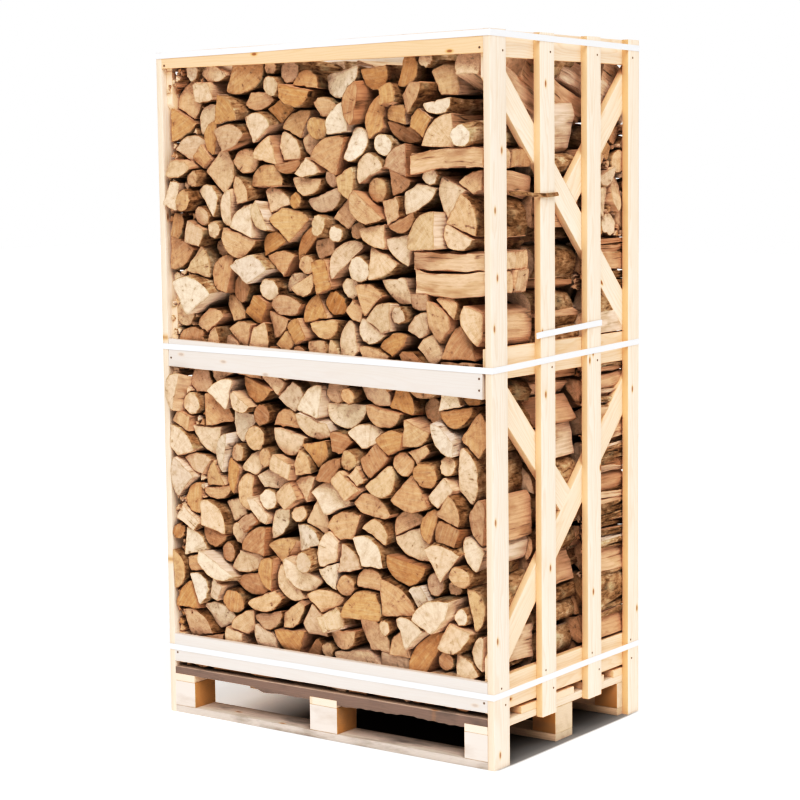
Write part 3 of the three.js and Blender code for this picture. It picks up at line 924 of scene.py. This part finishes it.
# How far forward each log of an outer row may reach: logs that lie behind a rail stop there
def tipDepths(rng, stack, side):
    centre = np.array([log[2:4] for log in stack]) + (rowPlan["left"], rowLow.z)
    big = np.array([log[0]["reach"].max() for log in stack])
    tips = rng.normal(rowPlan["tip"], rowPlan["tipSpread"], len(stack))
    tips -= np.where(rng.random(len(stack)) < rowPlan["boldShare"],
                     rng.uniform(0, rowPlan["bold"], len(stack)), 0)
    tips += np.where(rng.random(len(stack)) < rowPlan["shyShare"],
                     rng.uniform(0, rowPlan["shy"], len(stack)), 0)
    low, high = rowPlan["boldHeights"][side]
    atLeft = ((centre[:, 0] < rowPlan["leftOf"]) & (centre[:, 1] > low)
              & (centre[:, 1] < high))
    tips -= np.where(atLeft, rng.uniform(*rowPlan["boldAtLeft"], len(stack)), 0)
    for leftZ, rightZ, x0, x1 in railLines:
        share = ((centre[:, 0] - x0) / (x1 - x0)).clip(0, 1)
        low = leftZ[0] + share * (rightZ[0] - leftZ[0])
        high = leftZ[1] + share * (rightZ[1] - leftZ[1])
        behind = (centre[:, 1] + big > low) & (centre[:, 1] - big < high)
        stop = rowPlan["behindRail"] + rowPlan["railGap"] * big
        tips = np.where(behind, np.maximum(tips, stop), tips)
    return np.maximum(tips, rowPlan["furthest"])


def frontPlace(points):    # across, along and up are x, y and z
    low = np.array([rowPlan["left"] - 0.001, rowPlan["furthest"] - 0.002, rowLow.z])
    high = np.array([rowPlan["right"] + 0.0005, 1.0, rowPlan["top"] + 0.01])
    return (points + (rowPlan["left"], 0, rowLow.z)).clip(low, high)


def backPlace(points):    # the front turned half round
    return frontPlace(points) * (-1, -1, 1)


# The side rails stand in the way of logs at the wide left end of a row
sideRails = []
for level in levels:
    low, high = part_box(f"side_rail_left_{level}")
    sideRails.append((0.0, high.x - rowPlan["left"] + 0.002, max(low.z - rowLow.z, 0.0),
                      min(high.z - rowLow.z, rowHeight)))

groupNames = dict(half="halfLogs", quarter="wedgeLogs", billet="billets", round="roundLogs",
                  stick="kindling")
for side, place, seed in (("front", frontPlace, 11), ("back", backPlace, 12)):
    rng = np.random.default_rng(seed)
    cribs = cribPlan["places"][side]
    cribSpan = [(cribPlan["left"] if side == "front" else -cribPlan["right"]) - rowPlan["left"],
                (rowPlan["right"] if side == "front" else -cribPlan["left"]) - rowPlan["left"]]
    blocked = sideRails + [(*cribSpan, low - rowLow.z, low + sum(layers) - rowLow.z)
                           for low, layers, _ in cribs]
    leanSide = ("right", "left") if side == "front" else ("left", "right")
    edges = [leanPlan[leanSide[0]], leanPlan[leanSide[1]]]
    across = sorted((edge if side == "front" else -edge) - rowPlan["left"] for edge in edges)
    blocked.append((across[0] if side == "front" else 0.0, min(across[1], rowWidth),
                    leanPlan["low"] - rowLow.z, rowHeight))
    stack = stackLogs(rng, rowWidth, rowHeight, blocked, sticks=22)
    for x, z in rowPlan["wedged"][side]:    # sticks pushed into the last open slits
        stack.append((logSection(rng, "stick"), 0.4, x - rowPlan["left"], z - rowLow.z))
    for kind, label in groupNames.items():
        chosen = [log for log in stack if log[0]["kind"] == kind]
        tips = tipDepths(rng, chosen, side)
        if kind == "stick":
            tips = np.maximum(tips, rowPlan["tip"])
        lengths = np.minimum(rng.normal(rowPlan["length"], rowPlan["lengthSpread"], len(chosen)),
                             rowPlan["deepest"] - tips)
        makeLogs(rng, f"{side}Row_{label}", chosen, tips, lengths, place,
                 [f"log_row_{side}"], logShape["ringPoints"], wild=1.5)
    print(side, "row:", len(stack), "logs")
    for number, (low, layers, tones) in enumerate(cribs):
        depth = cribPlan["back"] - cribPlan["front"]
        crossed = stackLogs(rng, depth, layers[0], [], sticks=16) if side == "back" else []
        for layer, thick in enumerate(layers if side == "front" else []):
            for across in np.arange(0.5, 3) * cribPlan["billetDepth"]:
                section = logSection(rng, "billet", thick / 2)
                crossed.append((section, rng.normal(0, cribPlan["turnSpread"]),
                                across + rng.uniform(0, cribPlan["shift"]),
                                sum(layers[:layer]) + thick / 2))
        reach = rng.uniform(*cribPlan["reach"], len(crossed))

        def crossPlace(points):    # the tips point to the right side of the crate
            y = cribPlan["front"] + points[:, 0]
            return np.stack([cribPlan["right"] - points[:, 1], y if side == "front" else -y,
                             low + points[:, 2]], axis=-1)

        makeLogs(rng, f"{side}Row_crossedBillets{number + 1}", crossed, reach,
                 cribPlan["right"] - cribPlan["left"] - reach
                 - rng.uniform(0, cribPlan["shorter"], len(reach)),
                 crossPlace, [f"log_row_{side}"], logShape["ringPoints"], tones=tones,
                 stations=cribPlan["stations"], wild=2.2)
        print("crossed billets:", len(crossed))

rng = np.random.default_rng(14)
leaning = []
for number in range(len(leanPlan["lengths"])):
    section = logSection(rng, "billet", leanPlan["thick"] / 2)
    leaning.append((section, math.pi + rng.normal(0, leanPlan["turnSpread"]),
                    (leanPlan["left"] + leanPlan["right"]) / 2, number * 1.0))


# Each billet is turned about its own middle, then set down one spacing behind the last. up holds
# the billet's number as whole metres
def leanPlace(points):
    number = np.round(points[:, 2])
    rise = points[:, 2] - number
    alongLog = points[:, 1] - leanPlan["lengths"][0] / 2
    slope, level = math.sin(leanPlan["steepness"]), math.cos(leanPlan["steepness"])
    y = leanPlan["first"][0] + number * leanPlan["spacing"] + alongLog * level + rise * slope
    z = leanPlan["first"][1] - alongLog * slope + rise * level
    x = points[:, 0].clip(leanPlan["left"] - leanPlan["clearLeft"],
                          rowPlan["right"] + leanPlan["clearRight"])
    return np.stack([x, y, z], axis=-1)


makeLogs(rng, "leaningBillets", leaning,
         rng.uniform(0, leanPlan["tipSpread"], len(leaning)),
         np.array(leanPlan["lengths"]), leanPlace, ["log_row_front"],
         logShape["ringPoints"], tones=(0.4, 0.9), stations=leanPlan["stations"], wild=1.5)
print("leaning billets:", len(leaning))

middlePlan = dict(tip=0.006, tipSpread=0.003, frontGap=0.001, backGap=0.002, ringPoints=16)
rng = np.random.default_rng(13)
middleLow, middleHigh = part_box("log_row_middle")
stack = stackLogs(rng, rowWidth, rowHeight, sideRails)
tips = rng.normal(middleLow.y + middlePlan["tip"], middlePlan["tipSpread"], len(stack))
tips = tips.clip(middleLow.y + middlePlan["frontGap"])
makeLogs(rng, "middleRow_logs", stack, tips, middleHigh.y - middlePlan["backGap"] - tips,
         frontPlace, ["log_row_middle"], middlePlan["ringPoints"], detailed=False)
print("middle row:", len(stack), "logs")


# A ribbon: a flat rounded section carried along a path of places, each with its own sideways
# direction. normals point out of the crate
def makeRibbon(name, path, normals, width, thickness, surface, replaced, closed):
    steps = len(path)
    forward = np.roll(path, -1, axis=0) - np.roll(path, 1, axis=0)
    if not closed:
        forward[0], forward[-1] = path[1] - path[0], path[-1] - path[-2]
    forward /= np.linalg.norm(forward, axis=1, keepdims=True)
    sideways = np.cross(normals, forward)
    sideways /= np.linalg.norm(sideways, axis=1, keepdims=True)
    outward = np.cross(forward, sideways)
    halfSpan = width / 2 * np.array([-1, -0.985, -0.6, 0, 0.6, 0.985, 1, 0.985, 0.6, 0, -0.6,
                                     -0.985])
    halfThick = thickness / 2 * np.array([0, 0.8, 1, 1, 1, 0.8, 0, -0.8, -1, -1, -1, -0.8])
    count = len(halfSpan)
    points = (path[:, None] + halfSpan[:, None] * sideways[:, None]
              + halfThick[:, None] * outward[:, None])
    gone = np.concatenate([[0], np.cumsum(np.linalg.norm(np.diff(path, axis=0), axis=1))])
    grain = np.stack([gone[:, None] + 0 * halfSpan, halfSpan + 0 * gone[:, None],
                      halfThick + 0 * gone[:, None]], axis=-1)
    k = np.arange(count)
    after = (k + 1) % count
    row = np.arange(steps if closed else steps - 1)[:, None] * count
    nextRow = (row + count) % (steps * count)
    quads = np.stack([row + k, row + after, nextRow + after, nextRow + k], -1).reshape(-1, 4)
    triangles = np.zeros((0, 3), int)
    if not closed:
        fan = np.arange(1, count - 1)
        first = np.stack([0 * fan, fan + 1, fan], axis=-1)
        last = (steps - 1) * count
        triangles = np.concatenate([first, last + first[:, ::-1]])
    tone = np.full((steps * count, 3), 0.5)
    return makePiece(name, points.reshape(-1, 3), quads, triangles, [surface],
                     np.zeros(len(quads) + len(triangles), int),
                     {"grain": grain.reshape(-1, 3), "tone": tone,
                      "pith": grain.reshape(-1, 3)[:, [1, 2, 0]]}, replaced)


strapPlan = dict(width=0.017, thickness=0.0009, spacing=0.03, sway=0.0012, corner=0.0012,
                 inset=0.0006, nearCorner=0.004)
firstStrapSeed = 40


# Closed strap: a rectangle round the crate, its height found from the CAD strap's corners
def makeStrap(node, seed):
    rng = np.random.default_rng(seed)
    _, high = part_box(node)
    spots = pointsOf(node)
    halfX, halfY = high.x - strapPlan["inset"], high.y - strapPlan["inset"]
    corners = np.array([(-1, -1), (1, -1), (1, 1), (-1, 1)]) * (halfX, halfY)
    heights = []
    for x, y in corners:
        near = spots[np.hypot(spots[:, 0] - x, spots[:, 1] - y) < strapPlan["nearCorner"]]
        heights.append((near[:, 2].min() + near[:, 2].max()) / 2)
    path, normals = [], []
    for i, (x, y) in enumerate(corners):
        x1, y1 = corners[(i + 1) % 4]
        length = math.hypot(x1 - x, y1 - y)
        inset = strapPlan["corner"] / length
        t = np.concatenate([[inset], np.linspace(0.01, 0.99, int(length / strapPlan["spacing"])),
                            [1 - inset]])[:, None]
        normal = np.array([(y1 - y) / length, (x - x1) / length, 0.0])
        level = heights[i] + t * (heights[(i + 1) % 4] - heights[i])
        drop = strapPlan["sway"] * slowWave(rng, t * length, [3, 7.5, 16]) * np.sin(t * math.pi)
        run = np.concatenate([x + t * (x1 - x), y + t * (y1 - y), level + drop], axis=1)
        path.append(run)
        normals.append(np.tile(normal, (len(t), 1)))
    return makeRibbon(node.replace("strap", "woundStrap"), np.concatenate(path),
                      np.concatenate(normals), strapPlan["width"], strapPlan["thickness"],
                      surfaces["strap"], [node], True)


for number, level in enumerate(levels):
    makeStrap(f"strap_{level}", firstStrapSeed + number)

# The loose end stands off the crate in the middle of its length, and bends as it rises
tailPlan = dict(steps=24, gap=0.0004, standOff=0.0035, bend=0.8)
tailLow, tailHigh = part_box("strap_middle_tail")
t = np.linspace(0, 1, tailPlan["steps"])[:, None]
tailPath = np.concatenate([
    tailHigh.x + tailPlan["gap"] + tailPlan["standOff"] * np.sin(math.pi * t) ** 2,
    tailLow.y + t * (tailHigh.y - tailLow.y),
    tailLow.z + strapPlan["width"] / 2
    + t ** tailPlan["bend"] * (tailHigh.z - tailLow.z - strapPlan["width"])], axis=1)
makeRibbon("strapTail", tailPath, np.tile([1.0, 0.0, 0.0], (len(t), 1)), strapPlan["width"],
           strapPlan["thickness"], surfaces["strap"], ["strap_middle_tail"],
           False)

# The sliver of bark waves outwards and upwards along its length
sliverPlan = dict(steps=30, out=0.004, outWave=0.003, upWave=0.004, width=0.011,
                  thickness=0.0032)
sliverLow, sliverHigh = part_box("bark_sliver")
t = np.linspace(0, 1, sliverPlan["steps"])[:, None]
sliverPath = np.concatenate([
    sliverLow.x + sliverPlan["out"] + sliverPlan["outWave"] * np.sin(9 * t),
    sliverLow.y + t * (sliverHigh.y - sliverLow.y),
    (sliverLow.z + sliverHigh.z) / 2 + sliverPlan["upWave"] * np.sin(5 * t + 1)], axis=1)
makeRibbon("tornBarkSliver", sliverPath, np.tile([1.0, 0.0, 0.35], (len(t), 1)),
           sliverPlan["width"], sliverPlan["thickness"], surfaces["bark"],
           ["bark_sliver"], False)
print("straps made")

nailPlan = dict(head=0.0033, proud=0.0006, sunk=0.0006, sides=10,
                # places on the side panels, and on the ends of the front and back rails
                fromSide=0.018, fromEdge=0.02, scatter=0.004, fromEnd=0.011,
                offMiddle=(0.014, 0.02))


# Flat nail heads: a disc with a rounded rim for each place, facing along its normal
def makeNails(name, places, normal):
    turns = np.linspace(0, 2 * math.pi, nailPlan["sides"], endpoint=False)
    first = np.array([0.0, 0.0, 1.0])
    second = np.cross(normal, first)
    circle = np.cos(turns)[:, None] * second + np.sin(turns)[:, None] * first
    r, h = nailPlan["head"], nailPlan["proud"]
    sunk = normal * nailPlan["sunk"]
    single = np.concatenate([circle * r - sunk, circle * r + normal * h * 0.5,
                             circle * r * 0.8 + normal * h, [normal * h, -sunk]])
    points = (np.asarray(places)[:, None] + single[None]).reshape(-1, 3)
    n = nailPlan["sides"]
    k = np.arange(n)
    after = (k + 1) % n
    sides = np.concatenate([np.stack([i * n + k, i * n + after, (i + 1) * n + after,
                                      (i + 1) * n + k], axis=-1) for i in (0, 1)])[:, ::-1]
    fans = np.concatenate([np.stack([3 * n + 0 * k, 2 * n + after, 2 * n + k], axis=-1),
                           np.stack([3 * n + 1 + 0 * k, k, after], axis=-1)])
    starts = (np.arange(len(places)) * len(single))[:, None, None]
    quads = (starts + sides).reshape(-1, 4)
    triangles = (starts + fans).reshape(-1, 3)
    return makePiece(name, points, quads, triangles, [surfaces["nail"]],
                     np.zeros(len(quads) + len(triangles), int), {})


# Leaves out the nails that a strap covers
def clearOfStraps(places):
    heights = np.array(places)[:, 2]
    hidden = np.zeros(len(places), bool)
    for level in levels:
        low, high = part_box(f"strap_{level}")
        hidden |= (heights > low.z - nailPlan["head"]) & (heights < high.z + nailPlan["head"])
    return np.array(places)[~hidden]


rng = np.random.default_rng(60)
for side, sign in (("right", 1.0), ("left", -1.0)):
    places = []
    for upright in (f"post_{side}_front", f"slat_{side}_front", f"slat_{side}_back",
                    f"post_{side}_back"):
        low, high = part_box(upright)
        face = high.x if sign > 0 else low.x
        for level in levels:
            railLow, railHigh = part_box(f"side_rail_{side}_{level}")
            fromSide, fromEdge = nailPlan["fromSide"], nailPlan["fromEdge"]
            y0, y1 = max(low.y, railLow.y) + fromSide, min(high.y, railHigh.y) - fromSide
            for y, z in ((y0, railHigh.z - fromEdge), (y1, railLow.z + fromEdge)):
                off = [rng.uniform(-nailPlan["scatter"], nailPlan["scatter"]) for _ in range(2)]
                places.append((face, y + off[0], z + off[1]))
    makeNails(f"{side}Side_nailHeads", clearOfStraps(places), np.array([sign, 0.0, 0.0]))
for side, sign in (("front", -1.0), ("back", 1.0)):
    places = []
    for level in levels:
        corners, _, low, high = outlineOf(f"{side}_rail_{level}", 1)
        face = low if sign < 0 else high
        for end in (-1, 1):
            atEnd = corners[corners[:, 0] * end > 0]
            x, middle = end * (np.abs(atEnd[:, 0]).max() - nailPlan["fromEnd"]), atEnd[:, 1].mean()
            places += [(x, face, middle + way * rng.uniform(*nailPlan["offMiddle"]))
                       for way in (1, -1)]
    makeNails(f"{side}_nailHeads", clearOfStraps(places), np.array([0.0, sign, 0.0]))
print("nails made")


studioLook = dict(
    floor="#FFFFFF", unevenFloor="#FBFBFA", paintedShadow="#29231F", glow=0.34, floorReach=30,
    # how dark the painted shadow under the pallet is, along the crate's x and by the distance from
    # its middle line
    shadowAlongX=[(-0.5, 0.0), (-0.08, 1.0), (0.36, 1.0), (0.57, 0.8), (0.603, 0.7), (0.615, 0.0)],
    shadowByDepth=[(0.33, 1.0), (0.38, 0.85), (0.412, 0.0)],
    backdrop="#FFFFFF", bounce="#FFFDFA", bounceStrength=0.37,
    keyStrength=2.62, keySoftness=45, keyTurn=40, keyHeight=46,
    # tone curve of the finished picture: deeper shadows, middle and high tones kept
    toneCurve=[(0.02, 0.004), (0.09, 0.032), (0.25, 0.165), (0.55, 0.57), (0.85, 0.89)],
)


# Matt studio floor, faintly uneven and lit a little from below, with a painted shadow under
# the pallet that fades towards its left end, and the floor's glow fades out inside it:
# painted shadow = share along x times share by depth
def studioFloor(look):
    material, tree, shader = startMaterial("matt painted studio floor", {
        "Roughness": 0.85, "Specular IOR Level": 0.2, "Emission Color": look["floor"]})
    place = addNode(tree, "ShaderNodeTexCoord").outputs["Object"]
    parts = separate(tree, place)
    across = rescale(tree, parts[0], -1.0, 1.0, 0.0, 1.0)
    acrossShare = ramp(tree, across, [((x + 1) / 2, share) for x, share in look["shadowAlongX"]])
    depthShare = ramp(tree, calculate(tree, "ABSOLUTE", parts[1]), look["shadowByDepth"])
    # the painted shadow under the pallet, dark where the floor is in the pallet's shade
    shadowShare = calculate(tree, "MULTIPLY", acrossShare, depthShare)
    finishMaterial(tree, shader, layered(
        tree, look["floor"], (noiseAt(tree, place, 3.0), look["unevenFloor"]),
        (shadowShare, look["paintedShadow"])))
    tree.links.new(rescale(tree, shadowShare, 0.0, 0.7, look["glow"], 0.0),
                   shader.inputs["Emission Strength"])
    return material


floorMesh = bpy.data.meshes.new("studioFloor")
corners = [(x * studioLook["floorReach"], y * studioLook["floorReach"], 0)
           for x, y in ((-1, -1), (1, -1), (1, 1), (-1, 1))]
floorMesh.from_pydata(corners, [], [(0, 1, 2, 3)])
floorMesh.materials.append(studioFloor(studioLook))
floor = bpy.data.objects.new("studioFloor", floorMesh)
bpy.context.scene.collection.objects.link(floor)
floor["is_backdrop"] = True

# White studio: the backdrop is seen white, and sends less light than it shows, as a backdrop
# that stands far behind the object does
world = bpy.data.worlds.new("white studio")
world.use_nodes = True
tree = world.node_tree
tree.nodes.clear()
seen = addNode(tree, "ShaderNodeLightPath")
backdrop = addNode(tree, "ShaderNodeBackground", {
    "Color": studioLook["backdrop"], "Strength": 1.0})
bounce = addNode(tree, "ShaderNodeBackground", {
    "Color": studioLook["bounce"], "Strength": studioLook["bounceStrength"]})
studio = addNode(tree, "ShaderNodeMixShader", {0: seen.outputs["Is Camera Ray"],
                                               1: bounce.outputs[0], 2: backdrop.outputs[0]})
addNode(tree, "ShaderNodeOutputWorld", {"Surface": studio.outputs[0]})
bpy.context.scene.world = world

# One very soft light from the front right, high up, as from a large window
keyData = bpy.data.lights.new("soft key light", "SUN")
keyData.energy = studioLook["keyStrength"]
keyData.angle = math.radians(studioLook["keySoftness"])
key = bpy.data.objects.new("soft key light", keyData)
key.matrix_world = (Matrix.Rotation(math.radians(studioLook["keyTurn"]), 4, "Z")
                    @ Matrix.Rotation(math.radians(90 - studioLook["keyHeight"]), 4, "X"))
bpy.context.scene.collection.objects.link(key)
key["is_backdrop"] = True

cameraPlan = dict(place=(3.769, -5.161, 1.663), turn=-0.6309, pitch=-0.1092, roll=-0.0115,
                  lens=95.4)
forward = np.array([math.sin(cameraPlan["turn"]) * math.cos(cameraPlan["pitch"]),
                    math.cos(cameraPlan["turn"]) * math.cos(cameraPlan["pitch"]),
                    math.sin(cameraPlan["pitch"])])
right = np.array([math.cos(cameraPlan["turn"]), -math.sin(cameraPlan["turn"]), 0.0])
up = np.cross(right, forward)
rolled = math.cos(cameraPlan["roll"]) * right + math.sin(cameraPlan["roll"]) * up
tipped = -math.sin(cameraPlan["roll"]) * right + math.cos(cameraPlan["roll"]) * up
cameraData = bpy.data.cameras.new("camera")
cameraData.sensor_width = 36.0
cameraData.lens = cameraPlan["lens"]
camera = bpy.data.objects.new("camera", cameraData)
turned = np.eye(4)
turned[:3] = np.stack([rolled, tipped, -forward, cameraPlan["place"]], axis=1)
camera.matrix_world = Matrix(turned.tolist())
bpy.context.scene.collection.objects.link(camera)
bpy.context.scene.camera = camera
viewSettings = bpy.context.scene.view_settings
viewSettings.view_transform = "Standard"
viewSettings.use_curve_mapping = True
for shade, shown in studioLook["toneCurve"]:
    viewSettings.curve_mapping.curves[3].points.new(shade, shown)
viewSettings.curve_mapping.update()
print("stage made")

low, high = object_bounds()
